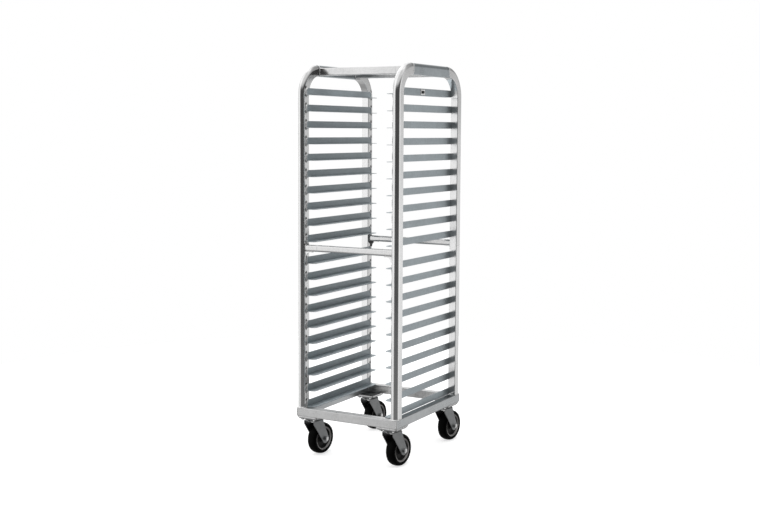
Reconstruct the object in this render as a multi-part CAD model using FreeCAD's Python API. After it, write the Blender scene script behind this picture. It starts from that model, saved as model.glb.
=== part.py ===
import FreeCAD, Part
import math
import os

from FreeCAD import Vector

os.makedirs("parts", exist_ok=True)

# ---------------------------------------------------------------- driving dimensions, mm
# The frame is centred on X = 0. Front is -Y, the floor is Z = 0.
FRAME_W = 540.0            # outer width over the uprights
FRAME_D = 660.0            # outer depth over the uprights
FRAME_TOP = 1856.0         # top of the bent side frames above the floor
TUBE_X = 38.0              # side-frame tube, across the rack
TUBE_Y = 52.0              # side-frame tube, in the plane of the side frame
TUBE_OUT_R = 18.0          # its rounded outer edge
TUBE_IN_R = 2.5            # its inner corners, facing the inside of the side frame
TUBE_WALL = 2.2
BEND_R = 145.0             # outer radius of the bend at the top of each upright

BASE_TOP = 239.0           # top of the base frame above the floor
BASE_H = 42.0              # height of the base rails
BASE_SIDE_W = 38.0         # side rails, across the rack
BASE_END_W = 40.0          # front and rear rails, front to back
BASE_R = 4.0
BASE_WALL = 2.5

LEVELS = 20
LEVELS_UPPER = 10          # levels above the gap that the mid braces stand in
PITCH = 76.2               # 3 in between levels
MID_GAP = 102.0            # between the two levels either side of the mid braces
SLIDE_LEG = 32.0           # upright leg of the angle
SLIDE_FLANGE = 45.0        # level leg that carries the pan
SLIDE_T = 2.0
SLIDE_INSET = 28.0         # slide end behind the face of the uprights
SLIDE_LEAD_R = 22.0        # rounded lead-in corner of the flange
SLIDE_CHAMFER = 8.0        # top corners of the leg
LOWEST_LEG_BOTTOM = BASE_TOP + 1.0

CROSSBAR_H = 35.0
CROSSBAR_D = 38.0
CROSSBAR_R = 3.0
CROSSBAR_DROP = 13.0       # crossbar top below the top of the side frames
LIGHT_WALL = 2.0

BRACE_H = 31.0
BRACE_D = 25.0
BRACE_R = 9.0
BRACE_INSET = 15.0         # brace face behind the face of the uprights
BRACE_DROP = 12.0          # brace top below the slide above it
GUSSET_W = 42.0
GUSSET_H = 28.0
GUSSET_ARM = 4.0
GUSSET_T = 5.0

BADGE_L = 44.0
BADGE_H = 27.0
BADGE_T = 1.0
BADGE_Y = -23.5

PAD_X = 108.0
PAD_Y = 120.0
PAD_T = 6.0
PAD_INSET = 2.0
PLATE_X = 102.0
PLATE_Y = 114.0
PLATE_T = 5.0
PLATE_INSET = 5.0
PLATE_R = 8.0
RACE_R_TOP = 43.0
RACE_R = 38.0
RACE_H = 10.0
BOLT_DX = 33.5             # half spacing of the plate holes across the rack
BOLT_DY = 46.0             # half spacing front to back
BOLT_R = 5.0
BOLT_HOLE_R = 5.3
PAD_HOLE_R = 5.05
BOLT_AF = 16.0
BOLT_HEAD = 6.5

WHEEL_R = 75.0
TYRE_W = 48.0
TYRE_BORE_R = 56.0
CROWN_SAG = 4.0            # tyre radius lost at the edge of the tread
SHOULDER_X = 9.0           # half width of the nearly flat middle of the tread
SHOULDER_DROP = 0.5        # tyre radius lost at the edge of that middle
TRAIL = 50.0               # axle behind the swivel axis
CASTER_TURN = 8.0          # degrees the casters stand swivelled, clockwise from above
HUB_R = 17.0
HUB_LEN = 56.0
WEB_T = 10.0
RIM_W = 42.0
RIM_INNER_R = 50.0
CORE_BORE_R = 6.45
AXLE_R = 6.35
AXLE_HOLE_R = 6.40
AXLE_AF = 19.0
AXLE_HEAD = 8.0
NUT_H = 10.0
FORK_GAP = 57.0            # clear width between the fork legs
FORK_T = 4.0
CROWN_T = 6.6
FORK_HALF_Y = 34.0
FORK_EYE_R = 22.0
FORK_OUT_R = 9.0
FORK_IN_R = 4.0
SWIVEL_GAP = 0.4           # between the raceway and the fork crown
KINGPIN_R = 8.0
KINGPIN_HOLE_R = 8.06
KINGPIN_FIT_R = 8.02       # hole in the top plate, which the kingpin is riveted into
KINGPIN_AF = 24.0
KINGPIN_HEAD = 9.0

# ---------------------------------------------------------------- derived
PAD_TOP = BASE_TOP - BASE_H
PLATE_TOP = PAD_TOP - PAD_T
RACE_TOP = PLATE_TOP - PLATE_T
RACE_BOTTOM = RACE_TOP - RACE_H
CROWN_TOP = RACE_BOTTOM - SWIVEL_GAP
CROWN_BOTTOM = CROWN_TOP - CROWN_T
SWIVEL_X = FRAME_W / 2 - PLATE_INSET - PLATE_X / 2
SWIVEL_Y = FRAME_D / 2 - PLATE_INSET - PLATE_Y / 2
FORK_HALF_X = FORK_GAP / 2 + FORK_T
INNER_X = FRAME_W / 2 - TUBE_X
# The rear wheels stand out behind the frame, so everything is shifted forward by this
# much to centre the whole object on the origin.
TURN_COS = math.cos(math.radians(CASTER_TURN))
TURN_SIN = math.sin(math.radians(CASTER_TURN))
REAR_REACH = SWIVEL_Y + (TRAIL + WHEEL_R - SHOULDER_DROP) * TURN_COS + SHOULDER_X * TURN_SIN
SHIFT_Y = -(REAR_REACH - FRAME_D / 2) / 2

ENDS = (("front", -1), ("rear", 1))


def save(name, shape):
    moved = shape.copy()
    moved.translate(Vector(0, SHIFT_Y, 0))
    moved.exportStep("parts/" + name + ".step")
    box = moved.BoundBox
    print("%-22s solids %2d valid %s volume %10.1f  z %.1f..%.1f"
          % (name, len(moved.Solids), moved.isValid(), moved.Volume, box.ZMin, box.ZMax))


def group(shapes):
    return Part.makeCompound(shapes)


def turned(shape, degrees):
    copy = shape.copy()
    copy.rotate(Vector(0, 0, 0), Vector(0, 0, 1), degrees)
    return copy


def mirrored_x(shape):
    return shape.mirror(Vector(0, 0, 0), Vector(1, 0, 0))


def rounded_wire(width, depth, radius, far_radius=None):
    """Rounded rectangle in the XY plane, centred on the origin. The corners at +Y may differ."""
    a = width / 2
    b = depth / 2
    arcs = []
    near_radius, far_radius = radius, radius if far_radius is None else far_radius
    for i, (sx, sy) in enumerate(((1, -1), (1, 1), (-1, 1), (-1, -1))):
        radius = near_radius if sy < 0 else far_radius
        k = radius * (1 - math.sqrt(0.5))
        on_end = Vector(sx * (a - radius), sy * b, 0)
        on_side = Vector(sx * a, sy * (b - radius), 0)
        middle = Vector(sx * (a - k), sy * (b - k), 0)
        arcs.append((on_end, middle, on_side) if i % 2 == 0 else (on_side, middle, on_end))
    edges = []
    for i, arc in enumerate(arcs):
        edges.append(Part.Arc(*arc).toShape())
        edges.append(Part.LineSegment(arc[2], arcs[(i + 1) % 4][0]).toShape())
    return Part.Wire(edges)


def tube_face(width, depth, radius, wall):
    """Hollow tube section in the XY plane."""
    outer = Part.Face(rounded_wire(width, depth, radius))
    inner_r = max(radius - wall, 0.5)
    inner = Part.Face(rounded_wire(width - 2 * wall, depth - 2 * wall, inner_r))
    return outer.cut(inner).Faces[0]


def side_frame_face():
    """Section of the side-frame tube in the XY plane: rounded at -Y, its outer edge."""
    outer = Part.Face(rounded_wire(TUBE_X, TUBE_Y, TUBE_OUT_R, TUBE_IN_R))
    inner = Part.Face(rounded_wire(TUBE_X - 2 * TUBE_WALL, TUBE_Y - 2 * TUBE_WALL,
                                   TUBE_OUT_R - TUBE_WALL, 0.5))
    return outer.cut(inner).Faces[0]


def prism(points, vector):
    """Solid from a closed polygon of (x, y, z) points, pushed along a vector."""
    closed = [Vector(*p) for p in points]
    closed.append(closed[0])
    return Part.Face(Part.makePolygon(closed)).extrude(vector)


def hexagon(across_flats, height, centre, axis):
    """Hexagonal prism whose base centre is at centre, pushed along axis."""
    radius = across_flats / math.sqrt(3)
    points = []
    for i in range(7):
        angle = math.radians(60 * i)
        points.append(Vector(radius * math.cos(angle), radius * math.sin(angle), 0))
    solid = Part.Face(Part.makePolygon(points)).extrude(Vector(0, 0, height))
    solid.Placement = FreeCAD.Placement(centre, FreeCAD.Rotation(Vector(0, 0, 1), axis))
    return solid


# ---------------------------------------------------------------- side frames
def j_upright():
    """Front left upright with its bend: a straight leg and a quarter turn towards the rear."""
    x = -(FRAME_W - TUBE_X) / 2
    bend_z = FRAME_TOP - BEND_R
    section = side_frame_face()
    section.translate(Vector(x, -(FRAME_D - TUBE_Y) / 2, bend_z))
    leg = section.extrude(Vector(0, 0, BASE_TOP - bend_z))
    centre = Vector(x, -FRAME_D / 2 + BEND_R, bend_z)
    bend = section.revolve(centre, Vector(-1, 0, 0), 90)
    return leg.fuse(bend).removeSplitter()


def top_rail():
    """Straight top run of the left side frame, spliced between the two bends."""
    half = FRAME_D / 2 - BEND_R
    section = side_frame_face()
    section.rotate(Vector(0, 0, 0), Vector(1, 0, 0), -90)
    section.translate(Vector(-(FRAME_W - TUBE_X) / 2, half, FRAME_TOP - TUBE_Y / 2))
    return section.extrude(Vector(0, -2 * half, 0))


front_left = j_upright()
save("upright_front_left", front_left)
save("upright_front_right", mirrored_x(front_left))
save("upright_rear_left", mirrored_x(turned(front_left, 180)))
save("upright_rear_right", turned(front_left, 180))
save("top_rail_left", top_rail())
save("top_rail_right", mirrored_x(top_rail()))


# ---------------------------------------------------------------- base frame
def base_side_rail():
    """Left base rail, mitred at both ends."""
    half_x = FRAME_W / 2
    half_y = FRAME_D / 2
    section = tube_face(BASE_SIDE_W, BASE_H, BASE_R, BASE_WALL)
    section.rotate(Vector(0, 0, 0), Vector(1, 0, 0), 90)
    section.translate(Vector(-half_x + BASE_SIDE_W / 2, half_y, BASE_TOP - BASE_H / 2))
    rail = section.extrude(Vector(0, -FRAME_D, 0))
    low = PAD_TOP - 1
    outline = ((-half_x, -half_y, low),
               (-half_x + BASE_SIDE_W, -half_y + BASE_END_W, low),
               (-half_x + BASE_SIDE_W, half_y - BASE_END_W, low),
               (-half_x, half_y, low))
    return rail.common(prism(outline, Vector(0, 0, BASE_H + 2)))


def base_end_rail():
    """Front base rail, mitred at both ends."""
    half_x = FRAME_W / 2
    half_y = FRAME_D / 2
    section = tube_face(BASE_H, BASE_END_W, BASE_R, BASE_WALL)
    section.rotate(Vector(0, 0, 0), Vector(0, 1, 0), 90)
    section.translate(Vector(-half_x, -half_y + BASE_END_W / 2, BASE_TOP - BASE_H / 2))
    rail = section.extrude(Vector(FRAME_W, 0, 0))
    low = PAD_TOP - 1
    outline = ((-half_x, -half_y, low),
               (half_x, -half_y, low),
               (half_x - BASE_SIDE_W, -half_y + BASE_END_W, low),
               (-half_x + BASE_SIDE_W, -half_y + BASE_END_W, low))
    return rail.common(prism(outline, Vector(0, 0, BASE_H + 2)))


save("base_rail_left", base_side_rail())
save("base_rail_right", turned(base_side_rail(), 180))
save("base_rail_front", base_end_rail())
save("base_rail_rear", turned(base_end_rail(), 180))


# ---------------------------------------------------------------- crossbars and braces
def cross_tube(height, depth, radius, y_centre, z_top):
    """Tube across the rack between the inner faces of the side frames."""
    section = tube_face(height, depth, radius, LIGHT_WALL)
    section.rotate(Vector(0, 0, 0), Vector(0, 1, 0), 90)
    section.translate(Vector(-INNER_X, y_centre, z_top - height / 2))
    return section.extrude(Vector(2 * INNER_X, 0, 0))


crossbar_y = FRAME_D / 2 - BEND_R - CROSSBAR_D / 2
brace_y = FRAME_D / 2 - BRACE_INSET - BRACE_D / 2
lower_count = LEVELS - LEVELS_UPPER
upper_bottom = LOWEST_LEG_BOTTOM + (lower_count - 1) * PITCH + MID_GAP
brace_top = upper_bottom - BRACE_DROP

for end, sign in ENDS:
    bar = cross_tube(CROSSBAR_H, CROSSBAR_D, CROSSBAR_R, sign * crossbar_y, FRAME_TOP - CROSSBAR_DROP)
    save("crossbar_top_" + end, bar)
    brace = cross_tube(BRACE_H, BRACE_D, BRACE_R, sign * brace_y, brace_top)
    save("brace_mid_" + end, brace)


def gusset():
    """Front left gusset: a plate with a concave quarter round, under the brace end."""
    y = -FRAME_D / 2 + BRACE_INSET + 1
    bottom = brace_top - BRACE_H - GUSSET_H
    x = -INNER_X
    radius = GUSSET_H - GUSSET_ARM
    plate = Part.makeBox(GUSSET_W, GUSSET_T, GUSSET_H, Vector(x, y, bottom))
    centre = Vector(x + GUSSET_ARM + radius, y - 1, bottom)
    round_cut = Part.makeCylinder(radius, GUSSET_T + 2, centre, Vector(0, 1, 0))
    tail_cut = Part.makeBox(GUSSET_W, GUSSET_T + 2, radius, centre)
    return plate.cut(round_cut).cut(tail_cut)


one_gusset = gusset()
save("brace_gussets", group([one_gusset, mirrored_x(one_gusset), turned(one_gusset, 180),
                             turned(mirrored_x(one_gusset), 180)]))


# ---------------------------------------------------------------- slides
def slide(z_bottom):
    """Left slide: an angle whose level leg points inwards at the bottom."""
    y0 = -FRAME_D / 2 + SLIDE_INSET
    y1 = -y0
    x = -INNER_X
    top = z_bottom + SLIDE_LEG
    leg_outline = ((x, y0, z_bottom), (x, y1, z_bottom), (x, y1, top - SLIDE_CHAMFER),
                   (x, y1 - SLIDE_CHAMFER, top), (x, y0 + SLIDE_CHAMFER, top),
                   (x, y0, top - SLIDE_CHAMFER))
    leg = prism(leg_outline, Vector(SLIDE_T, 0, 0))
    tip = x + SLIDE_FLANGE
    r = SLIDE_LEAD_R
    k = r * (1 - math.sqrt(0.5))
    near = Vector(tip - r, y0, z_bottom)
    near_end = Vector(tip, y0 + r, z_bottom)
    far = Vector(tip, y1 - r, z_bottom)
    far_end = Vector(tip - r, y1, z_bottom)
    edges = [Part.LineSegment(Vector(x, y0, z_bottom), near).toShape(),
             Part.Arc(near, Vector(tip - k, y0 + k, z_bottom), near_end).toShape(),
             Part.LineSegment(near_end, far).toShape(),
             Part.Arc(far, Vector(tip - k, y1 - k, z_bottom), far_end).toShape(),
             Part.LineSegment(far_end, Vector(x, y1, z_bottom)).toShape(),
             Part.LineSegment(Vector(x, y1, z_bottom), Vector(x, y0, z_bottom)).toShape()]
    flange = Part.Face(Part.Wire(edges)).extrude(Vector(0, 0, SLIDE_T))
    return leg.fuse(flange).removeSplitter()


def level_bottom(level):
    """Underside of the slides at a level; level 1 is the top one."""
    if level > LEVELS_UPPER:
        return LOWEST_LEG_BOTTOM + (LEVELS - level) * PITCH
    return upper_bottom + (LEVELS_UPPER - level) * PITCH


for level in range(1, LEVELS + 1):
    left_slide = slide(level_bottom(level))
    save("slides_level_%02d" % level, group([left_slide, mirrored_x(left_slide)]))
    print("   level %2d leg bottom %.1f" % (level, level_bottom(level)))


# ---------------------------------------------------------------- badge
badge_z = level_bottom(1) + SLIDE_LEG / 2
badge_face = Part.Face(rounded_wire(BADGE_H, BADGE_L, 3.0))
badge_face.rotate(Vector(0, 0, 0), Vector(0, 1, 0), 90)
badge_face.translate(Vector(INNER_X, BADGE_Y, badge_z))
save("badge", badge_face.extrude(Vector(BADGE_T, 0, 0)))


# ---------------------------------------------------------------- caster mountings
def at_corner(shape, sign_x, sign_y):
    """Moves a shape made round the swivel axis to one of the four corners."""
    copy = shape.copy()
    copy.translate(Vector(sign_x * SWIVEL_X, sign_y * SWIVEL_Y, 0))
    return copy


def caster_at(shape, sign_x, sign_y):
    """Moves a part of a caster to a corner, swivelled as the casters stand."""
    copy = shape.copy()
    copy.rotate(Vector(0, 0, 0), Vector(0, 0, 1), -CASTER_TURN)
    return at_corner(copy, sign_x, sign_y)


CORNERS = (("front_left", -1, -1), ("front_right", 1, -1),
           ("rear_left", -1, 1), ("rear_right", 1, 1))
HOLES = [(sx * BOLT_DX, sy * BOLT_DY) for sx in (-1, 1) for sy in (-1, 1)]


def pad(sign_x, sign_y):
    """Plate welded under one corner of the base frame, with tapped holes for the caster."""
    x_mid = sign_x * (FRAME_W / 2 - PAD_INSET - PAD_X / 2)
    y_mid = sign_y * (FRAME_D / 2 - PAD_INSET - PAD_Y / 2)
    face = Part.Face(rounded_wire(PAD_X, PAD_Y, 5.0))
    face.translate(Vector(x_mid, y_mid, PLATE_TOP))
    solid = face.extrude(Vector(0, 0, PAD_T))
    for hx, hy in HOLES:
        spot = Vector(sign_x * SWIVEL_X + hx, sign_y * SWIVEL_Y + hy, PLATE_TOP - 1)
        solid = solid.cut(Part.makeCylinder(PAD_HOLE_R, PAD_T + 2, spot))
    return solid


def top_plate():
    """Caster top plate with the upper raceway pressed down under it."""
    face = Part.Face(rounded_wire(PLATE_X, PLATE_Y, PLATE_R))
    face.translate(Vector(0, 0, RACE_TOP))
    plate = face.extrude(Vector(0, 0, PLATE_T))
    race = Part.makeCone(RACE_R, RACE_R_TOP, RACE_H, Vector(0, 0, RACE_BOTTOM))
    bore = Part.makeCylinder(KINGPIN_FIT_R, PLATE_T + RACE_H + 2, Vector(0, 0, RACE_BOTTOM - 1))
    plate = plate.fuse(race).cut(bore)
    for hx, hy in HOLES:
        spot = Vector(hx, hy, RACE_TOP - 1)
        plate = plate.cut(Part.makeCylinder(BOLT_HOLE_R, PLATE_T + 2, spot))
    return plate


def mounting_bolt(hx, hy):
    """Hex bolt from below, through the top plate into the pad."""
    shank = Part.makeCylinder(BOLT_R, PLATE_T + PAD_T, Vector(hx, hy, RACE_TOP))
    head = hexagon(BOLT_AF, BOLT_HEAD, Vector(hx, hy, RACE_TOP - BOLT_HEAD), Vector(0, 0, 1))
    return head.fuse(shank)


def kingpin():
    """Pin riveted into the top plate; its head carries the fork."""
    head_bottom = CROWN_BOTTOM - SWIVEL_GAP - KINGPIN_HEAD
    head = hexagon(KINGPIN_AF, KINGPIN_HEAD, Vector(0, 0, head_bottom), Vector(0, 0, 1))
    shank = Part.makeCylinder(KINGPIN_R, PLATE_TOP - head_bottom, Vector(0, 0, head_bottom))
    return head.fuse(shank)


bolts = []
for name, sx, sy in CORNERS:
    for hx, hy in HOLES:
        bolts.append(at_corner(mounting_bolt(hx, hy), sx, sy))
save("caster_pads", group([pad(sx, sy) for name, sx, sy in CORNERS]))
save("caster_top_plates", group([at_corner(top_plate(), sx, sy) for name, sx, sy in CORNERS]))
save("caster_bolts", group(bolts))
save("caster_kingpins", group([at_corner(kingpin(), sx, sy) for name, sx, sy in CORNERS]))


# ---------------------------------------------------------------- casters
def tangent_point(px, pz, cx, cz, radius, side):
    """Where the line from (px, pz) touches a circle; side picks one of the two."""
    dx = px - cx
    dz = pz - cz
    reach = math.hypot(dx, dz)
    angle = math.atan2(dz, dx) + side * math.acos(radius / reach)
    return cx + radius * math.cos(angle), cz + radius * math.sin(angle)


def fork_section():
    """Inverted U of the fork across the rack, with bent corners."""
    outer_x = FORK_HALF_X
    inner_x = FORK_GAP / 2
    low = WHEEL_R - FORK_EYE_R - 1
    k_out = FORK_OUT_R * (1 - math.sqrt(0.5))
    k_in = FORK_IN_R * (1 - math.sqrt(0.5))
    right_out = [Vector(outer_x, 0, CROWN_TOP - FORK_OUT_R),
                 Vector(outer_x - k_out, 0, CROWN_TOP - k_out),
                 Vector(outer_x - FORK_OUT_R, 0, CROWN_TOP)]
    right_in = [Vector(inner_x, 0, CROWN_BOTTOM - FORK_IN_R),
                Vector(inner_x - k_in, 0, CROWN_BOTTOM - k_in),
                Vector(inner_x - FORK_IN_R, 0, CROWN_BOTTOM)]

    def flip(p):
        return Vector(-p.x, p.y, p.z)

    def line(a, b):
        return Part.LineSegment(a, b).toShape()

    edges = [line(Vector(outer_x, 0, low), right_out[0]),
             Part.Arc(*right_out).toShape(),
             line(right_out[2], flip(right_out[2])),
             Part.Arc(*[flip(p) for p in reversed(right_out)]).toShape(),
             line(flip(right_out[0]), Vector(-outer_x, 0, low)),
             line(Vector(-outer_x, 0, low), Vector(-inner_x, 0, low)),
             line(Vector(-inner_x, 0, low), flip(right_in[0])),
             Part.Arc(*[flip(p) for p in right_in]).toShape(),
             line(flip(right_in[2]), right_in[2]),
             Part.Arc(*reversed(right_in)).toShape(),
             line(right_in[0], Vector(inner_x, 0, low)),
             line(Vector(inner_x, 0, low), Vector(outer_x, 0, low))]
    return Part.Face(Part.Wire(edges))


def fork():
    """Swivel fork: crown under the raceway, legs sweeping back and down to the axle."""
    reach = TRAIL + FORK_EYE_R + 5
    channel = fork_section()
    channel.translate(Vector(0, -FORK_HALF_Y - 5, 0))
    channel = channel.extrude(Vector(0, FORK_HALF_Y + 5 + reach, 0))
    back_z = CROWN_BOTTOM - 6
    front_z = CROWN_BOTTOM - 14
    back = tangent_point(FORK_HALF_Y, back_z, TRAIL, WHEEL_R, FORK_EYE_R, -1)
    front = tangent_point(-FORK_HALF_Y, front_z, TRAIL, WHEEL_R, FORK_EYE_R, 1)
    x = -FORK_HALF_X - 1
    width = 2 * FORK_HALF_X + 2
    outline = ((x, -FORK_HALF_Y, CROWN_TOP + 1), (x, FORK_HALF_Y, CROWN_TOP + 1),
               (x, FORK_HALF_Y, back_z), (x, back[0], back[1]),
               (x, TRAIL, WHEEL_R),
               (x, front[0], front[1]), (x, -FORK_HALF_Y, front_z))
    side = prism(outline, Vector(width, 0, 0))
    eye = Part.makeCylinder(FORK_EYE_R, width, Vector(x, TRAIL, WHEEL_R), Vector(1, 0, 0))
    body = channel.common(side.fuse(eye))
    axle_hole = Part.makeCylinder(AXLE_HOLE_R, width, Vector(x, TRAIL, WHEEL_R), Vector(1, 0, 0))
    pin_hole = Part.makeCylinder(KINGPIN_HOLE_R, CROWN_T + 2, Vector(0, 0, CROWN_BOTTOM - 1))
    return body.cut(axle_hole).cut(pin_hole)


def revolved(points):
    """Solid turned about the axle from (x, radius) points."""
    closed = [Vector(x, TRAIL, WHEEL_R + radius) for x, radius in points]
    closed.append(closed[0])
    face = Part.Face(Part.makePolygon(closed))
    return face.revolve(Vector(0, TRAIL, WHEEL_R), Vector(1, 0, 0), 360)


def wheel_core():
    """Hub, web and rim of the wheel in one casting."""
    hub = HUB_LEN / 2
    web = WEB_T / 2
    rim = RIM_W / 2
    return revolved(((-hub, CORE_BORE_R), (hub, CORE_BORE_R), (hub, HUB_R - 3),
                     (web + 6, HUB_R), (web, HUB_R + 5), (web, RIM_INNER_R - 4),
                     (rim, RIM_INNER_R), (rim, TYRE_BORE_R), (-rim, TYRE_BORE_R),
                     (-rim, RIM_INNER_R), (-web, RIM_INNER_R - 4), (-web, HUB_R + 5),
                     (-web - 6, HUB_R), (-hub, HUB_R - 3)))


def tyre():
    """Solid tyre with a slightly crowned tread and rounded shoulders."""
    half = TYRE_W / 2
    side = []
    for x, drop in ((half, 19), (half, 11), (half - 1.5, 7), (half - 4, CROWN_SAG),
                    (half - 9, 1.8), (SHOULDER_X, SHOULDER_DROP), (3, 0)):
        side.append((x, WHEEL_R - drop))
    return revolved(side + [(-x, r) for x, r in reversed(side)])


def axle_bolt():
    """Hex bolt through the fork legs and the wheel, head on the left."""
    centre = Vector(-FORK_HALF_X, TRAIL, WHEEL_R)
    length = 2 * FORK_HALF_X + NUT_H + 2
    shank = Part.makeCylinder(AXLE_R, length, centre, Vector(1, 0, 0))
    head = hexagon(AXLE_AF, AXLE_HEAD, centre, Vector(-1, 0, 0))
    return shank.fuse(head)


def axle_nut():
    """Lock nut on the right-hand end of the axle bolt."""
    centre = Vector(FORK_HALF_X, TRAIL, WHEEL_R)
    nut = hexagon(AXLE_AF, NUT_H, centre, Vector(1, 0, 0))
    hole = Part.makeCylinder(AXLE_HOLE_R, NUT_H + 2, centre - Vector(1, 0, 0), Vector(1, 0, 0))
    return nut.cut(hole)


for name, sx, sy in CORNERS:
    save("fork_" + name, caster_at(fork(), sx, sy))
    save("axle_bolt_" + name, caster_at(axle_bolt(), sx, sy))
    save("axle_nut_" + name, caster_at(axle_nut(), sx, sy))
    save("wheel_core_" + name, caster_at(wheel_core(), sx, sy))
    save("tyre_" + name, caster_at(tyre(), sx, sy))

print("shift Y %.3f  swivel at %.1f, %.1f" % (SHIFT_Y, SWIVEL_X, SWIVEL_Y))
print("brace top %.1f  rear reach %.1f" % (brace_top, REAR_REACH))
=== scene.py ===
"""Looks of the sheet pan rack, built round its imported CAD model. Metres, row frame.

The CAD nodes get materials only. Weld beads, splice bands, badge, grease nipples and dust
seals are added as pieces. A plain floor, a soft studio and the camera follow.
"""

import math
import random

import bmesh
import bpy
from mathutils import Matrix, Vector


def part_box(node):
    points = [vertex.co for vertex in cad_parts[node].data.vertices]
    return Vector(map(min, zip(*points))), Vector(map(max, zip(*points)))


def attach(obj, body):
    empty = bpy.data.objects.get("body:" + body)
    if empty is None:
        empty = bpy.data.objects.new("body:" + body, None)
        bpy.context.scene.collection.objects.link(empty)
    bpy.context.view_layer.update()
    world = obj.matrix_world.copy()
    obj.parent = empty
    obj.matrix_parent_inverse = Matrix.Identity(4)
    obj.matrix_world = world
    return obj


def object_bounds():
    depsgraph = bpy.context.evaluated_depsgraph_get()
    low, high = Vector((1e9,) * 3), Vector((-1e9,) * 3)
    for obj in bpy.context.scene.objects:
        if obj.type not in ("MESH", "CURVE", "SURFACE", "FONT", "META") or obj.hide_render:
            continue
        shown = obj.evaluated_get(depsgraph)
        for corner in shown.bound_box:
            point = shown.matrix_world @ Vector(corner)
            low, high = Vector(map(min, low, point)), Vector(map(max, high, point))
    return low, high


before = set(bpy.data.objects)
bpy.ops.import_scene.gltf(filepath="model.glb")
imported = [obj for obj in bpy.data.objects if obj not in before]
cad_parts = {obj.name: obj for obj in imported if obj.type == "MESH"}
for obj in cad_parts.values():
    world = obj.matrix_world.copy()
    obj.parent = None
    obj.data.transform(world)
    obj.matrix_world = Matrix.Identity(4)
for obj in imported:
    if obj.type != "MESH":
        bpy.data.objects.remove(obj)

CAD_LO, CAD_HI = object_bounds()
random.seed(7)
scene = bpy.context.scene

# ---------------------------------------------------------------- places taken from the CAD nodes
UPRIGHT_LO, UPRIGHT_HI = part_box("upright_front_left")
TUBE_X = UPRIGHT_HI.x - UPRIGHT_LO.x
TUBE_Y = 0.052                               # side frame tube, front to back
FACE_X = -UPRIGHT_LO.x                       # outer face of the side frames
INNER_X = FACE_X - TUBE_X                    # inner face of the side frames
FRONT_Y = UPRIGHT_LO.y
REAR_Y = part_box("upright_rear_left")[1].y
MID_Y = (FRONT_Y + REAR_Y) / 2
LOOP_R = 0.012                               # corners of the weld loops round the side frame tube;
                                             # the tube's own are 18 mm outside, 2.5 mm inside
BASE_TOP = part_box("base_rail_left")[1].z
BASE_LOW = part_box("base_rail_left")[0].z
BASE_END_W = 0.040                           # front and rear base rails, front to back
CROSSBAR_R, BRACE_R = 0.003, 0.009           # corner radii of the cross tubes
LEVELS = 20
UPPER_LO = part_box("slides_level_10")[0]
LOWER_LO, LOWER_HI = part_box("slides_level_20")
TOP_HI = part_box("slides_level_01")[1]
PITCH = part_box("slides_level_19")[0].z - LOWER_LO.z
LEG_H = LOWER_HI.z - LOWER_LO.z
CORNERS = ("front_left", "front_right", "rear_left", "rear_right")
PLATES_LO, PLATES_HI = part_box("caster_top_plates")
PLATE_HALF_X, PLATE_HALF_Y = 0.051, 0.057    # half a caster top plate; the swivel is in its middle
TURN = Matrix.Rotation(math.radians(-8.0), 3, "Z")   # how far the casters stand swivelled
TRAIL = 0.050                                # axle behind the swivel axis
CROWN_FRONT = 0.0335                         # front of the fork crown ahead of the swivel axis
HUB_R = 0.0155
RIM_INNER_R = 0.0494


def swivel_axis(corner):
    """Where the swivel axis of a caster meets the floor."""
    x = PLATES_LO.x + PLATE_HALF_X if "left" in corner else PLATES_HI.x - PLATE_HALF_X
    y = PLATES_LO.y + PLATE_HALF_Y if "front" in corner else PLATES_HI.y - PLATE_HALF_Y
    return Vector((x, y, 0.0))


METAL_GRAIN_DEPTH = 0.00004

# ---------------------------------------------------------------- node graphs
class Graph:
    """Small helper that adds and links shader nodes."""

    def __init__(self, tree):
        self.tree = tree
        tree.nodes.clear()

    def add(self, kind, settings=None, **inputs):
        node = self.tree.nodes.new(kind)
        for key, value in (settings or {}).items():
            setattr(node, key, value)
        for key, value in inputs.items():
            numbered = key[0] == "i" and key[1:].isdigit()
            socket = node.inputs[int(key[1:]) if numbered else key.replace("_", " ")]
            if isinstance(value, bpy.types.NodeSocket):
                self.tree.links.new(value, socket)
            else:
                socket.default_value = value
        return node

    def math(self, operation, a, b=0.0):
        return self.add("ShaderNodeMath", {"operation": operation}, i0=a, i1=b).outputs[0]

    def remap(self, value, a, b, c, d, smooth=False):
        settings = {"interpolation_type": "SMOOTHSTEP" if smooth else "LINEAR"}
        return self.add("ShaderNodeMapRange", settings, i0=value, i1=a, i2=b, i3=c, i4=d).outputs[0]

    def dot(self, vector, direction):
        node = self.add("ShaderNodeVectorMath", {"operation": "DOT_PRODUCT"}, i0=vector, i1=direction)
        return node.outputs["Value"]

    def noise(self, vector, scale, detail=3.0, roughness=0.5):
        return self.add("ShaderNodeTexNoise", None, Vector=vector, Scale=scale, Detail=detail,
                        Roughness=roughness).outputs[0]

    def scaled(self, vector, factors):
        node = self.add("ShaderNodeVectorMath", {"operation": "MULTIPLY"}, i0=vector, i1=factors)
        return node.outputs[0]

    def mix(self, factor, a, b):
        node = self.add("ShaderNodeMix", {"data_type": "RGBA"})
        for index, value in ((0, factor), (6, a), (7, b)):
            if isinstance(value, bpy.types.NodeSocket):
                self.tree.links.new(value, node.inputs[index])
            else:
                node.inputs[index].default_value = value
        return node.outputs[2]


def grey(value, warm=0.0):
    """A near-neutral colour; warm above 0 is yellower, below 0 bluer."""
    return (value * (1 + warm), value, value * (1 - 0.5 * warm), 1.0)


def new_material(name):
    material = bpy.data.materials.new(name)
    material.use_nodes = True
    return material, Graph(material.node_tree)


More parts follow.
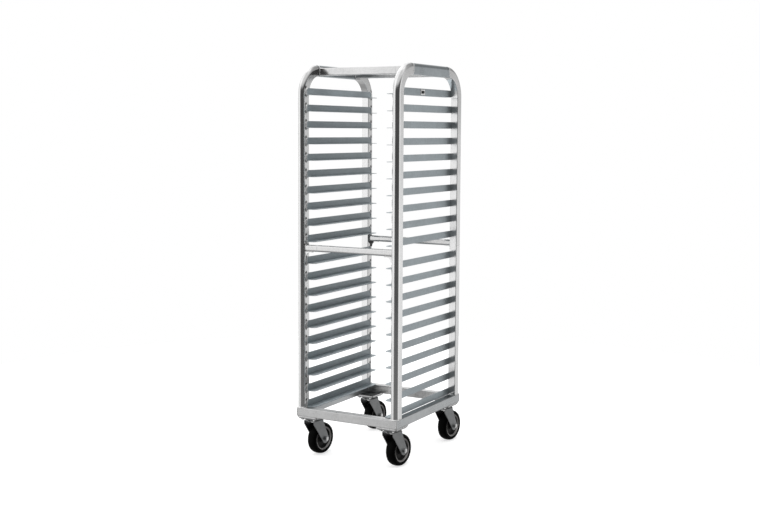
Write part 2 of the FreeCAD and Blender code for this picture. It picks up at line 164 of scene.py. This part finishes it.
def edge_mask(g, radius):
    """1 on sharp edges, 0 on flat faces."""
    bevel = g.add("ShaderNodeBevel", {"samples": 4}, Radius=radius).outputs[0]
    geometry = g.add("ShaderNodeNewGeometry")
    node = g.add("ShaderNodeVectorMath", {"operation": "DOT_PRODUCT"}, i0=bevel, i1=geometry.outputs["Normal"])
    return bevel, g.remap(node.outputs["Value"], 0.995, 0.90, 0.0, 1.0)


def inward_shade_mask(g, at):
    """1 on faces that look towards the middle of the rack, which the rack's own parts shade; it drives painted
    shade.
    """
    side = g.math("SIGN", g.add("ShaderNodeSeparateXYZ", None, Vector=at).outputs[0])
    facing = g.add("ShaderNodeSeparateXYZ", None,
                   Vector=g.add("ShaderNodeNewGeometry").outputs["True Normal"]).outputs[0]
    return g.remap(g.math("MULTIPLY", facing, side), -0.75, -0.95, 0.0, 1.0)


def soot_and_joint_shade(g, at):
    """Dark spots above and below each slide end and round the crossbar and brace ends, on the inner faces of
    the uprights: partly weld soot, partly painted shade in the joints.
    """
    x, y, z = g.add("ShaderNodeSeparateXYZ", None, Vector=at).outputs
    gap = UPPER_LO.z - LOWER_LO.z - PITCH * (LEVELS // 2)
    shifted = g.math("SUBTRACT", z, g.math("MULTIPLY", g.math("GREATER_THAN", z, UPPER_LO.z - gap), gap))
    turn = g.math("DIVIDE", g.math("SUBTRACT", shifted, LOWER_LO.z + LEG_H / 2), PITCH)
    near = g.math("PINGPONG", turn, 0.5)
    dz = g.math("SUBTRACT", g.math("MULTIPLY", near, PITCH), LEG_H / 2 + 0.002)
    depth = g.math("ABSOLUTE", g.math("SUBTRACT", y, MID_Y))
    dy = g.math("SUBTRACT", depth, LOWER_HI.y - MID_Y + 0.003)
    away = g.math("SQRT", g.math("ADD", g.math("MULTIPLY", dy, dy), g.math("MULTIPLY", dz, dz)))
    ragged = g.math("ADD", away, g.math("MULTIPLY", g.noise(at, 130.0), 0.010))
    spot = g.remap(ragged, 0.0160, 0.0095, 0.0, 0.92, True)
    inside = g.math("MULTIPLY", g.math("GREATER_THAN", z, LOWER_LO.z), g.math("LESS_THAN", z, TOP_HI.z + 0.02))
    spot = g.math("MULTIPLY", spot, inside)
    for node in ("crossbar_top_front", "brace_mid_front"):
        lo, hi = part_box(node)
        middle, half = (lo + hi) / 2, (hi - lo) / 2
        off_y = g.math("SUBTRACT", g.math("ABSOLUTE", g.math("SUBTRACT", depth, MID_Y - middle.y)), half.y)
        off_z = g.math("SUBTRACT", g.math("ABSOLUTE", g.math("SUBTRACT", z, middle.z)), half.z)
        off = g.math("ADD", g.math("MAXIMUM", off_y, off_z), g.math("MULTIPLY", g.noise(at, 90.0), 0.012))
        spot = g.math("MAXIMUM", spot, g.remap(off, 0.0155, 0.0095, 0.0, 0.9, True))
    return g.math("MULTIPLY", spot, inward_shade_mask(g, at))


def metal(name, low, high, rough_low, rough_high, along, grain=420.0, blotch=7.0, edge=0.0006,
          tint=0.0, inner=1.0, soot_and_shade=False, metallic=1.0):
    """Bare or plated metal, between two greys and two roughnesses.
    along is small on the axis the brushing runs along. inner is how bright the faces that look
    into the rack are, painted shade where the rack's own parts hide the light. soot_and_shade paints
    dark spots round the welds of slides, crossbars and braces: partly weld soot, partly painted shade."""
    material, g = new_material(name)
    at = g.add("ShaderNodeTexCoord").outputs["Object"]
    lines = g.noise(g.scaled(at, along), grain, 2.0, 0.6)
    cloud = g.noise(at, blotch, 4.0, 0.55)
    fine = g.noise(at, blotch * 14, 3.0, 0.5)
    marks = g.noise(g.scaled(at, (along[1], along[2], along[0])), 55.0, 2.0, 0.7)
    shade = g.math("ADD", g.math("MULTIPLY", cloud, 0.65), g.math("MULTIPLY", fine, 0.35))
    shade = g.remap(shade, 0.36, 0.66, 0.0, 1.0)
    base = g.mix(shade, grey(low, tint), grey(high, tint))
    base = g.mix(g.remap(marks, 0.64, 0.74, 0.0, 0.35), base, grey(low * 0.7, tint))
    # painted shade: the faces that look into the rack get darker greys
    if inner < 1.0:
        base = g.mix(inward_shade_mask(g, at), base, g.mix(shade, grey(low * inner, tint), grey(high * inner, tint)))
    # dark spots at the joints: partly weld soot, partly painted shade
    if soot_and_shade:
        base = g.mix(soot_and_joint_shade(g, at), base, grey(0.05, 0.03))
    bevel, edges = edge_mask(g, edge)
    # painted highlight: sharp edges get a lighter grey
    base = g.mix(g.math("MULTIPLY", edges, 0.6), base, grey(min(1.0, high * 1.12), tint))
    rough = g.remap(g.math("ADD", g.math("MULTIPLY", lines, 0.5), g.math("MULTIPLY", cloud, 0.5)),
                    0.35, 0.65, rough_low, rough_high)
    height = g.math("ADD", g.math("MULTIPLY", lines, 0.7), g.math("MULTIPLY", fine, 0.3))
    normal = g.add("ShaderNodeBump", None, Strength=0.6, Distance=METAL_GRAIN_DEPTH, Height=height,
                   Normal=bevel).outputs[0]
    shader = g.add("ShaderNodeBsdfPrincipled", None, Base_Color=base, Metallic=metallic,
                   Roughness=rough, Normal=normal)
    g.add("ShaderNodeOutputMaterial", None, Surface=shader.outputs[0])
    return material


def plastic(name, low, high, rough_low, rough_high, bump, scale, specular):
    """Rubber or moulded plastic."""
    material, g = new_material(name)
    at = g.add("ShaderNodeTexCoord").outputs["Object"]
    cloud = g.noise(at, 26.0, 4.0, 0.6)
    fine = g.noise(at, scale, 3.0, 0.6)
    base = g.mix(g.remap(cloud, 0.35, 0.65, 0.0, 1.0), grey(low), grey(high))
    bevel, edges = edge_mask(g, 0.0008)
    # painted highlight: sharp edges get a lighter grey
    base = g.mix(g.math("MULTIPLY", edges, 0.35), base, grey(high * 1.8))
    rough = g.remap(fine, 0.35, 0.65, rough_low, rough_high)
    normal = g.add("ShaderNodeBump", None, Strength=0.5, Distance=bump, Height=fine, Normal=bevel).outputs[0]
    shader = g.add("ShaderNodeBsdfPrincipled", None, Base_Color=base, Roughness=rough, Normal=normal,
                   Specular_IOR_Level=specular)
    g.add("ShaderNodeOutputMaterial", None, Surface=shader.outputs[0])
    return material


def wheel_look(corner):
    """Wheel core: near-black web and a lighter hub, inside a light turned rim."""
    material, g = new_material("wheel_core_" + corner)
    at = g.add("ShaderNodeTexCoord").outputs["Object"]
    lo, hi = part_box("tyre_" + corner)
    axle = swivel_axis(corner) + TURN @ Vector((0, TRAIL, (lo.z + hi.z) / 2))
    span = g.add("ShaderNodeVectorMath", {"operation": "SUBTRACT"}, i0=at, i1=tuple(axle)).outputs[0]
    across = g.dot(span, tuple(TURN @ Vector((1, 0, 0))))
    square = g.math("SUBTRACT", g.dot(span, span), g.math("MULTIPLY", across, across))
    radius = g.math("ADD", g.math("SQRT", g.math("MAXIMUM", square, 0.0)),
                    g.math("MULTIPLY", g.noise(at, 60.0), 0.0012))
    cloud = g.noise(at, 40.0, 4.0, 0.6)
    fine = g.noise(at, 420.0, 3.0, 0.6)
    base = g.mix(g.remap(cloud, 0.35, 0.65, 0.0, 1.0), grey(0.014, 0.04), grey(0.040, 0.04))
    rim = g.mix(g.remap(fine, 0.35, 0.65, 0.0, 1.0), grey(0.40, 0.03), grey(0.54, 0.03))
    base = g.mix(g.remap(radius, RIM_INNER_R - 0.0006, RIM_INNER_R + 0.0006, 0.0, 1.0, True), base, rim)
    base = g.mix(g.remap(radius, HUB_R + 0.0005, HUB_R - 0.0005, 0.0, 0.7, True), base, grey(0.22, 0.02))
    bevel, edges = edge_mask(g, 0.0008)
    # painted highlight: sharp edges get a lighter grey
    base = g.mix(g.math("MULTIPLY", edges, 0.3), base, grey(0.50, 0.02))
    rough = g.remap(fine, 0.35, 0.65, 0.40, 0.56)
    normal = g.add("ShaderNodeBump", None, Strength=0.5, Distance=0.00008, Height=fine, Normal=bevel).outputs[0]
    shader = g.add("ShaderNodeBsdfPrincipled", None, Base_Color=base, Roughness=rough, Normal=normal,
                   Specular_IOR_Level=0.20)
    g.add("ShaderNodeOutputMaterial", None, Surface=shader.outputs[0])
    return material


UP = (1, 1, 0.01)            # brushing up the uprights
DEEP = (1, 0.01, 1)          # front to back
ACROSS = (0.01, 1, 1)        # side to side
ROUND = (1, 1, 1)

# side frame tube: faces that look into the rack painted darker as shade; dark spots at its joints, partly weld
# soot and partly painted shade
side_tube = metal("side_frame_tube", 0.80, 0.90, 0.12, 0.22, UP, inner=0.78, soot_and_shade=True)
# top runs: a darker, bluer copy of the side frame tube metal, painted shade; also dark spots at its joints,
# partly weld soot and partly painted shade
shaded_top_run = metal("top_run_tube", 0.42, 0.56, 0.26, 0.38, DEEP, tint=-0.08, soot_and_shade=True)
# side base rails: a darker copy of the end rails' metal, painted shade where the side faces get less light
shaded_base_side = metal("base_tube_side", 0.46, 0.58, 0.24, 0.36, DEEP, tint=-0.03)
base_end = metal("base_tube_end", 0.56, 0.70, 0.24, 0.36, ACROSS)
cross_tube = metal("cross_tube", 0.68, 0.80, 0.14, 0.26, ACROSS)
# slides: faces that look into the rack painted darker as shade
slide_angle = metal("slide_angle", 0.46, 0.60, 0.40, 0.54, DEEP, tint=-0.10, inner=0.76, metallic=0.72)
mounting_pad = metal("mounting_pad", 0.60, 0.72, 0.30, 0.42, ROUND)
zinc = metal("caster_zinc", 0.20, 0.30, 0.30, 0.46, ROUND, grain=160.0, blotch=30.0, tint=-0.02)
fastener = metal("fastener", 0.62, 0.78, 0.18, 0.32, ROUND, grain=300.0, blotch=60.0)
weld = metal("weld_metal", 0.70, 0.92, 0.22, 0.40, ROUND, grain=300.0, blotch=90.0, edge=0.0003, metallic=0.6)
tyre = plastic("tyre", 0.002, 0.004, 0.40, 0.58, 0.00012, 300.0, specular=0.03)
badge_metal = metal("badge", 0.90, 0.98, 0.10, 0.18, DEEP, grain=300.0)
badge_dark = plastic("badge_face", 0.010, 0.018, 0.30, 0.42, 0.00004, 500.0, specular=0.08)

SLOT_LOOKS = (
    ("upright_", side_tube), ("top_rail_", shaded_top_run), ("base_rail_left", shaded_base_side),
    ("base_rail_right", shaded_base_side), ("base_rail_front", base_end), ("base_rail_rear", base_end),
    ("crossbar_", cross_tube), ("brace_mid_", cross_tube), ("brace_gussets", side_tube),
    ("slides_level_", slide_angle), ("badge", badge_metal), ("caster_pads", mounting_pad),
    ("caster_top_plates", zinc), ("caster_bolts", fastener), ("caster_kingpins", fastener),
    ("fork_", zinc), ("axle_", fastener), ("tyre_", tyre),
    *(("wheel_core_" + corner, wheel_look(corner)) for corner in CORNERS))

for node_name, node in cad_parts.items():
    for start, look in SLOT_LOOKS:
        if node_name.startswith(start):
            node.data.materials.clear()
            node.data.materials.append(look)
            break


# ---------------------------------------------------------------- pieces
def add_piece(name, build, look, body):
    """A mesh piece made by build(bm), with the material look, on a body."""
    bm = bmesh.new()
    build(bm)
    bmesh.ops.recalc_face_normals(bm, faces=bm.faces)
    mesh = bpy.data.meshes.new(name)
    bm.to_mesh(mesh)
    bm.free()
    for polygon in mesh.polygons:
        polygon.use_smooth = True
    mesh.materials.append(look)
    piece = bpy.data.objects.new(name, mesh)
    scene.collection.objects.link(piece)
    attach(piece, body)
    return piece


BEAD_STEP = 0.0011           # ring spacing along a bead
RIPPLE = 0.0034              # spacing of the ripples of a bead
BEAD_SIDES = 10
SLIDE_BEAD, FOOT_BEAD, CROSS_BEAD, PAD_BEAD = 0.0036, 0.0034, 0.0028, 0.0018
MITRE_BEAD, MITRE_INNER_BEAD, MITRE_TOP_BEAD = 0.0030, 0.0026, 0.0022
GUSSET_BEAD, GUSSET_UNDER_BEAD = 0.0022, 0.0018


def bead(bm, path, radius, out, closed=False):
    """Weld bead along a path: ripples like overlapping coins, rounded ends, irregular width.
    out(point) is the direction in which the bead bulges."""
    points = [Vector(p) for p in path]
    if closed:
        points.append(points[0])
    samples = []
    for a, b in zip(points, points[1:]):
        count = max(1, round((b - a).length / BEAD_STEP))
        samples += [a.lerp(b, i / count) for i in range(count)]
    samples.append(points[-1])
    if closed:
        samples.pop()
    total = len(samples)
    phase, wobble = random.random(), random.random() * 6
    rings = []
    for i, at in enumerate(samples):
        ahead = samples[(i + 1) % total] if closed or i + 1 < total else at
        behind = samples[i - 1] if closed or i > 0 else at
        along = (ahead - behind).normalized()
        bulge = out(at)
        bulge = (bulge - along * bulge.dot(along)).normalized()
        side = along.cross(bulge)
        distance = i * BEAD_STEP
        ripple = abs(math.sin(math.pi * (distance / RIPPLE + phase)))
        size = radius * (0.84 + 0.20 * ripple + 0.08 * math.sin(wobble + distance * 210))
        if not closed:
            end = min(i, total - 1 - i) * BEAD_STEP / radius
            size *= math.sqrt(max(0.06, 1 - max(0.0, 1 - end) ** 2))
        ring = []
        for k in range(BEAD_SIDES):
            angle = 2 * math.pi * k / BEAD_SIDES
            across, out_by = size * 1.15 * math.cos(angle), size * 0.8 * math.sin(angle)
            ring.append(bm.verts.new(at + side * across + bulge * out_by))
        rings.append(ring)
    pairs = list(zip(rings, rings[1:])) + ([(rings[-1], rings[0])] if closed else [])
    for a, b in pairs:
        for k in range(BEAD_SIDES):
            bm.faces.new((a[k], a[(k + 1) % BEAD_SIDES], b[(k + 1) % BEAD_SIDES], b[k]))
    if not closed:
        bm.faces.new(list(reversed(rings[0])))
        bm.faces.new(rings[-1])


def toward(vector):
    direction = Vector(vector).normalized()
    return lambda point: direction


def rounded_loop(cx, cy, half_x, half_y, radius, z, steps=6):
    """Points of a rounded rectangle in a level plane."""
    loop = []
    for quarter, (sx, sy) in enumerate(((1, 1), (-1, 1), (-1, -1), (1, -1))):
        for i in range(steps + 1):
            angle = math.pi / 2 * (quarter + i / steps)
            loop.append(Vector((cx + sx * (half_x - radius) + radius * math.cos(angle),
                                cy + sy * (half_y - radius) + radius * math.sin(angle), z)))
    return loop


def slide_welds(bm):
    """Vertical beads at both ends of every slide, with a short return under and over the leg."""
    for level in range(1, LEVELS + 1):
        lo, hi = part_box("slides_level_%02d" % level)
        for side in (-1, 1):
            x = side * (INNER_X - 0.0012)
            for y, back in ((lo.y, 1), (hi.y, -1)):
                start = Vector((x, y + back * 0.010, lo.z - 0.0008))
                path = [start, Vector((x, y - back * 0.0012, lo.z - 0.0006)),
                        Vector((x, y - back * 0.0016, lo.z + 0.006 + random.uniform(-.001, .001))),
                        Vector((x, y - back * 0.0012, hi.z - 0.007)),
                        Vector((x, y + back * 0.0080, hi.z + 0.0005))]
                bead(bm, path, SLIDE_BEAD, toward((-side, -0.6 * back, 0)))


add_piece("weld_beads_slides", slide_welds, weld, "rack")


def foot_welds(bm):
    """Bead round the foot of each upright on the base frame."""
    for side in (-1, 1):
        for y in (FRONT_Y + TUBE_Y / 2, REAR_Y - TUBE_Y / 2):
            cx = side * (FACE_X - TUBE_X / 2)
            inset = 0.0022
            loop = rounded_loop(cx, y, TUBE_X / 2 - inset / 2, TUBE_Y / 2 - inset / 2, LOOP_R,
                                BASE_TOP + 0.0002)

            def out(point, cx=cx, y=y):
                flat = Vector((point.x - cx, point.y - y, 0)).normalized()
                return flat + Vector((0, 0, 1))
            bead(bm, loop, FOOT_BEAD, out, closed=True)


add_piece("weld_beads_feet", foot_welds, weld, "rack")


def mitre_welds(bm):
    """Beads across the top and down the outer corner of the four mitres of the base frame."""
    for sx in (-1, 1):
        for sy, y in ((-1, FRONT_Y), (1, REAR_Y)):
            x, edge = sx * (FACE_X - 0.002), y - sy * 0.002
            bead(bm, [Vector((x, edge, BASE_TOP - 0.004)), Vector((x, edge, BASE_LOW + 0.004))],
                 MITRE_BEAD, toward((sx, sy, 0)))
            x, edge = sx * (FACE_X - TUBE_X + 0.0002), y - sy * (BASE_END_W - 0.0002)
            bead(bm, [Vector((x, edge, BASE_TOP - 0.003)), Vector((x, edge, BASE_LOW + 0.003))],
                 MITRE_INNER_BEAD, toward((-sx, -sy, 0)))
            tip = Vector((sx * (INNER_X + 0.002), y - sy * (TUBE_Y - 0.012), BASE_TOP - 0.0006))
            bead(bm, [Vector((x, edge, BASE_TOP - 0.0006)), tip], MITRE_TOP_BEAD, toward((0, 0, 1)))


add_piece("weld_beads_mitres", mitre_welds, weld, "rack")


def section_loop(node, x, inset, radius):
    """Points round the section of a cross tube where it meets a side frame."""
    lo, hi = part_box(node)
    loop = []
    half_y, half_z = (hi.y - lo.y) / 2 - inset, (hi.z - lo.z) / 2 - inset
    for p in rounded_loop(0, 0, half_y, half_z, radius, 0):
        loop.append(Vector((x, (lo.y + hi.y) / 2 + p.x, (lo.z + hi.z) / 2 + p.y)))
    return loop, Vector((x, (lo.y + hi.y) / 2, (lo.z + hi.z) / 2))


def cross_welds(bm):
    """Beads round the ends of the crossbars and the mid braces."""
    for node, radius in (("crossbar_top_front", CROSSBAR_R), ("crossbar_top_rear", CROSSBAR_R),
                         ("brace_mid_front", BRACE_R), ("brace_mid_rear", BRACE_R)):
        for side in (-1, 1):
            loop, centre = section_loop(node, side * (INNER_X - 0.0004), 0.0004, radius)

            def out(point, side=side, centre=centre):
                away = point - centre
                return away.normalized() + Vector((-side * 0.8, 0, 0))
            bead(bm, loop, CROSS_BEAD, out, closed=True)


add_piece("weld_beads_cross", cross_welds, weld, "rack")


def gusset_welds(bm):
    """Short beads along the vertical edge of each gusset."""
    lo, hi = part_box("brace_gussets")
    for side in (-1, 1):
        for y, sy in ((lo.y, -1), (hi.y, 1)):
            x = side * (INNER_X - 0.0006)
            bead(bm, [Vector((x, y, hi.z - 0.003)), Vector((x, y, lo.z + 0.001))], GUSSET_BEAD,
                 toward((-side, sy, 0)))
            bead(bm, [Vector((x - side * 0.004, y, hi.z)), Vector((x - side * 0.038, y, hi.z))],
                 GUSSET_UNDER_BEAD, toward((0, sy, -0.7)))


add_piece("weld_beads_gussets", gusset_welds, weld, "rack")


def pad_welds(bm):
    """Fillets between the base frame and the caster pads."""
    lo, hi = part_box("caster_pads")
    z = hi.z - 0.0012
    for sx in (-1, 1):
        for sy, y in ((-1, lo.y), (1, hi.y)):
            x = sx * hi.x
            bead(bm, [Vector((x - sx * 0.008, y, z)), Vector((x - sx * 0.100, y, z))], PAD_BEAD,
                 toward((0, sy, 0.4)))
            bead(bm, [Vector((x, y - sy * 0.008, z)), Vector((x, y - sy * 0.112, z))], PAD_BEAD,
                 toward((sx, 0, 0.4)))


add_piece("weld_beads_pads", pad_welds, weld, "rack")


BAND_PROUD, BAND_WIDTH = 0.0009, 0.008


def tube_band(bm, y, side, proud, width):
    """Narrow ground-down weld band round the top run at a splice."""
    rail_lo, rail_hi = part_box("top_rail_left")
    cz = (rail_lo.z + rail_hi.z) / 2
    half_z = (rail_hi.z - rail_lo.z) / 2 + proud
    cx = side * (FACE_X - TUBE_X / 2)
    rings = []
    for step, grow in ((-2, -0.0006), (-1, -0.0001), (0, 0), (1, -0.0001), (2, -0.0006)):
        offset, wider = step * width / 4, proud + grow
        ring = []
        for p in rounded_loop(0, 0, TUBE_X / 2 + wider, half_z + grow, LOOP_R + wider, 0, 8):
            wave = 0.0013 * math.sin(p.x * 1100 + p.y * 900 + side)
            ring.append(bm.verts.new((cx + p.x, y + offset + wave, cz + p.y)))
        rings.append(ring)
    count = len(rings[0])
    for a, b in zip(rings, rings[1:]):
        for k in range(count):
            bm.faces.new((a[k], a[(k + 1) % count], b[(k + 1) % count], b[k]))


def splice_welds(bm):
    """Bands at both ends of both top runs."""
    rail_lo, rail_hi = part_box("top_rail_left")
    for side in (-1, 1):
        for y in (rail_lo.y, rail_hi.y):
            tube_band(bm, y, side, BAND_PROUD, BAND_WIDTH)


add_piece("weld_bands_splices", splice_welds, weld, "rack")


RIM_WIDTH = 0.0085


def badge_parts():
    """Raised rim and blank dark field of the badge."""
    lo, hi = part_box("badge")
    cy, cz = (lo.y + hi.y) / 2, (lo.z + hi.z) / 2
    half_y, half_z = (hi.y - lo.y) / 2, (hi.z - lo.z) / 2
    back = hi.x - 0.0004

    def plate(bm, x_back, x_front, shrink, radius, hole=None):
        loops = []
        for x, inset in ((x_back, shrink), (x_front - 0.0002, shrink), (x_front, shrink + 0.0002)):
            loops.append([bm.verts.new((x, cy + p.x, cz + p.y))
                          for p in rounded_loop(0, 0, half_y - inset, half_z - inset, radius, 0, 5)])
        if hole:
            for x in (x_front, x_back):
                loops.append([bm.verts.new((x, cy + p.x, cz + p.y))
                              for p in rounded_loop(0, 0, half_y - hole, half_z - hole, radius * 0.7, 0, 5)])
        count = len(loops[0])
        ends = zip(loops, loops[1:] + loops[:1]) if hole else zip(loops, loops[1:])
        for a, b in ends:
            for k in range(count):
                bm.faces.new((a[k], a[(k + 1) % count], b[(k + 1) % count], b[k]))
        if not hole:
            bm.faces.new(loops[0])
            bm.faces.new(loops[-1])

    add_piece("badge_rim", lambda bm: plate(bm, back, hi.x + 0.0007, 0.0, 0.003, RIM_WIDTH),
              badge_metal, "rack")
    add_piece("badge_field", lambda bm: plate(bm, back, hi.x + 0.0003, RIM_WIDTH - 0.0005, 0.002),
              badge_dark, "rack")


badge_parts()


LATHE_SIDES = 24


def lathe(bm, profile, origin, axis):
    """Turns (distance along axis, radius) pairs round an axis, closed at both ends."""
    turn = axis.to_track_quat("Z", "Y").to_matrix().to_4x4()
    place = Matrix.Translation(origin) @ turn
    rings = []
    angles = [2 * math.pi * k / LATHE_SIDES for k in range(LATHE_SIDES)]
    for along, radius in profile:
        rings.append([bm.verts.new(place @ Vector((radius * math.cos(t), radius * math.sin(t), along)))
                      for t in angles])
    for a, b in zip(rings, rings[1:]):
        for k in range(LATHE_SIDES):
            bm.faces.new((a[k], a[(k + 1) % LATHE_SIDES], b[(k + 1) % LATHE_SIDES], b[k]))
    bm.faces.new(list(reversed(rings[0])))
    bm.faces.new(rings[-1])


def caster_details(corner):
    """Grease nipple on the fork crown and the dust seal under the raceway."""
    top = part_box("fork_" + corner)[1].z
    swivel = swivel_axis(corner)
    front = swivel + TURN @ Vector((0, -CROWN_FRONT, top - 0.0045))

    nipple = ((-0.002, 0.0042), (0.002, 0.0042), (0.002, 0.0034), (0.0045, 0.0030), (0.0055, 0.0020),
              (0.0070, 0.0018), (0.0080, 0.0026), (0.0092, 0.0024), (0.0100, 0.0010))
    add_piece("grease_nipple_" + corner,
              lambda bm: lathe(bm, nipple, front, TURN @ Vector((0, -1, 0.25)).normalized()),
              fastener, "swivel_" + corner)

    seal = [(along - 0.0021, radius) for along, radius in
            ((-0.0002, 0.0310), (-0.0002, 0.0335), (0.0006, 0.0350), (0.0016, 0.0356),
             (0.0022, 0.0340), (0.0022, 0.0310))]
    add_piece("race_seal_" + corner,
              lambda bm: lathe(bm, seal, swivel + Vector((0, 0, top)), Vector((0, 0, 1))),
              tyre, "swivel_" + corner)


for corner in CORNERS:
    caster_details(corner)


# ---------------------------------------------------------------- floor
FLOOR_RADIUS = 3.2
FLOOR_GAP = 0.0002           # floor below the tyres


def make_floor():
    """Plain pale disc, lit softly so that only faint shadows show."""
    bm = bmesh.new()
    bmesh.ops.create_circle(bm, cap_ends=True, segments=96, radius=FLOOR_RADIUS)
    mesh = bpy.data.meshes.new("floor")
    bm.to_mesh(mesh)
    bm.free()
    floor = bpy.data.objects.new("floor", mesh)
    scene.collection.objects.link(floor)
    floor.location = (0, 0, CAD_LO.z - FLOOR_GAP)
    material, g = new_material("floor")
    at = g.add("ShaderNodeTexCoord").outputs["Object"]
    base = g.mix(g.noise(at, 3.0), grey(0.50), grey(0.54))
    shader = g.add("ShaderNodeBsdfPrincipled", None, Base_Color=base, Roughness=0.9, Specular_IOR_Level=0.1,
                   Emission_Color=grey(0.9), Emission_Strength=0.72)
    g.add("ShaderNodeOutputMaterial", None, Surface=shader.outputs[0])
    mesh.materials.append(material)
    floor.visible_glossy = False
    floor.visible_diffuse = False


make_floor()


# ---------------------------------------------------------------- studio
def compass(degrees):
    """Level direction; 0 is the front, 90 the right-hand side of the rack."""
    angle = math.radians(degrees)
    return (math.sin(angle), -math.cos(angle), 0.0)


# Bearing, angle of full strength, angle where it has faded out, strength
BRIGHT_ZONES = ((-78, 50, 72, 0.80), (-34, 6, 24, 0.16), (128, 8, 28, 0.42),
                (168, 32, 50, 0.66), (228, 10, 30, 0.74))
GAP_BEARING, GAP_HEIGHT = 158, 30            # a darker patch of ceiling behind the rack


def make_world():
    """White for the camera; for light and reflections, a studio of soft bright and dark zones."""
    world = bpy.data.worlds.new("studio")
    scene.world = world
    world.use_nodes = True
    g = Graph(world.node_tree)
    ray = g.add("ShaderNodeTexCoord").outputs["Generated"]
    level = g.add("ShaderNodeVectorMath", {"operation": "NORMALIZE"}, i0=g.scaled(ray, (1, 1, 0))).outputs[0]

    def lobe(centre, full, none, strength):
        """Bright zone round a bearing: full strength inside one angle, nothing outside the other."""
        share = g.remap(g.dot(level, compass(centre)), math.cos(math.radians(none)),
                        math.cos(math.radians(full)), 0.0, 1.0, True)
        return g.math("MULTIPLY", share, strength)

    height = g.add("ShaderNodeSeparateXYZ", None, Vector=ray).outputs[2]
    total = 0.0
    for centre, full, none, strength in BRIGHT_ZONES:
        total = g.math("ADD", lobe(centre, full, none, strength), total)
    total = g.math("MULTIPLY", total, g.remap(height, -0.36, -0.12, 0.36, 1.0, True))
    total = g.math("MULTIPLY", total, g.remap(height, -0.80, -0.40, 0.40, 1.0, True))
    total = g.math("MULTIPLY", total, g.remap(height, 0.30, 0.75, 1.0, 0.42, True))
    total = g.math("ADD", total, g.remap(height, -0.30, -0.10, 0.22, 0.065, True))
    total = g.math("ADD", total, g.remap(height, 0.34, 0.66, 0.0, 0.62, True))
    rise = math.radians(GAP_HEIGHT)
    gap = Vector(compass(GAP_BEARING)) * math.cos(rise) + Vector((0, 0, math.sin(rise)))
    total = g.math("MULTIPLY", total, g.remap(g.dot(ray, tuple(gap)), math.cos(math.radians(36)),
                                              math.cos(math.radians(18)), 1.0, 0.35, True))
    eye = g.add("ShaderNodeLightPath").outputs["Is Camera Ray"]
    studio = g.add("ShaderNodeBackground", None, Strength=total, Color=(1, 1, 1, 1))
    plain = g.add("ShaderNodeBackground", None, Strength=1.0, Color=(1, 1, 1, 1))
    mixed = g.add("ShaderNodeMixShader", None, i0=eye, i1=studio.outputs[0], i2=plain.outputs[0])
    g.add("ShaderNodeOutputWorld", None, Surface=mixed.outputs[0])


make_world()


RACK_MIDDLE = Vector((0, 0, 0.9))


def soft_light(name, place, size, power):
    """Round soft light aimed at the middle of the rack, unseen in reflections."""
    data = bpy.data.lights.new(name, "AREA")
    data.shape = "DISK"
    data.size = size
    data.energy = power
    light = bpy.data.objects.new(name, data)
    scene.collection.objects.link(light)
    light.location = place
    light.visible_glossy = False
    light.rotation_mode = "QUATERNION"
    light.rotation_quaternion = (RACK_MIDDLE - Vector(place)).to_track_quat("-Z", "Y")


soft_light("overhead", (0.4, -0.6, 4.6), 3.2, 190)
soft_light("fill_left", (-3.6, -2.6, 3.2), 2.4, 60)

# ---------------------------------------------------------------- camera
IMAGE_W = 760
FOCAL = 1170.7               # focal length over pixel size
AXIS_DROP = 22.0             # optical axis above the middle of the picture, in the same unit
CAMERA_AT = (2.7484, -4.9410, 1.5449)
azimuth, pitch, roll = math.radians(29.287), math.radians(5.4775), math.radians(0.2608)
look = Vector((-math.sin(azimuth) * math.cos(pitch), math.cos(azimuth) * math.cos(pitch), -math.sin(pitch)))
right = Vector((math.cos(azimuth), math.sin(azimuth), 0))
up = Vector((-math.sin(azimuth) * math.sin(pitch), math.cos(azimuth) * math.sin(pitch), math.cos(pitch)))
right_rolled = right * math.cos(roll) + up * math.sin(roll)
up_rolled = up * math.cos(roll) - right * math.sin(roll)
lens = bpy.data.cameras.new("camera")
lens.sensor_width = 36.0
lens.lens = FOCAL / IMAGE_W * lens.sensor_width
lens.shift_y = -AXIS_DROP / IMAGE_W
lens.clip_end = 60.0
camera = bpy.data.objects.new("camera", lens)
scene.collection.objects.link(camera)
axes = Matrix((right_rolled, up_rolled, -look)).transposed()
camera.matrix_world = Matrix.Translation(CAMERA_AT) @ axes.to_4x4()
scene.camera = camera
scene.view_settings.view_transform = "Standard"
